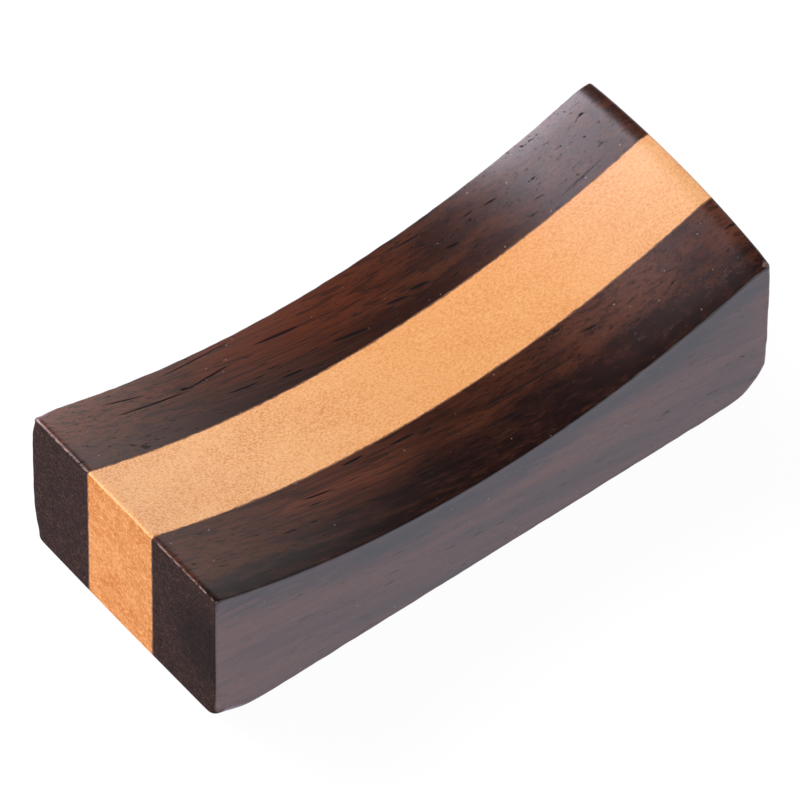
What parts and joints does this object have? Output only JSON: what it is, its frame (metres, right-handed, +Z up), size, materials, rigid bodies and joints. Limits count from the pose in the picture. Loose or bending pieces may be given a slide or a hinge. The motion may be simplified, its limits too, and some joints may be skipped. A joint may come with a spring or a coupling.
{
  "type": "chopstick rest",
  "caption": "Laminated wooden chopstick rest: a small block with a long shallow saddle across its top, a pale core between dark outer strips.",
  "frame": {"origin": "centre of the flat base, at the bottom centre of the bounding box", "axes": "+X along the block and its saddle, towards the end with the softer foot; +Y across the strips, towards the back one; +Z up"},
  "size_m": [0.0485, 0.0202, 0.0135],
  "materials": {
    "rosewood": "dark, oiled, satin sheen",
    "maple": "pale, fine grained, oiled, satin sheen",
    "wood_glue": "dried glue film, flush with the wood"
  },
  "bodies": {
    "root": {"back_rosewood_strip": "rosewood", "back_glue_line": "wood_glue", "maple_core_strip": "maple", "front_glue_line": "wood_glue", "front_rosewood_strip": "rosewood"}
  },
  "joints": []
}
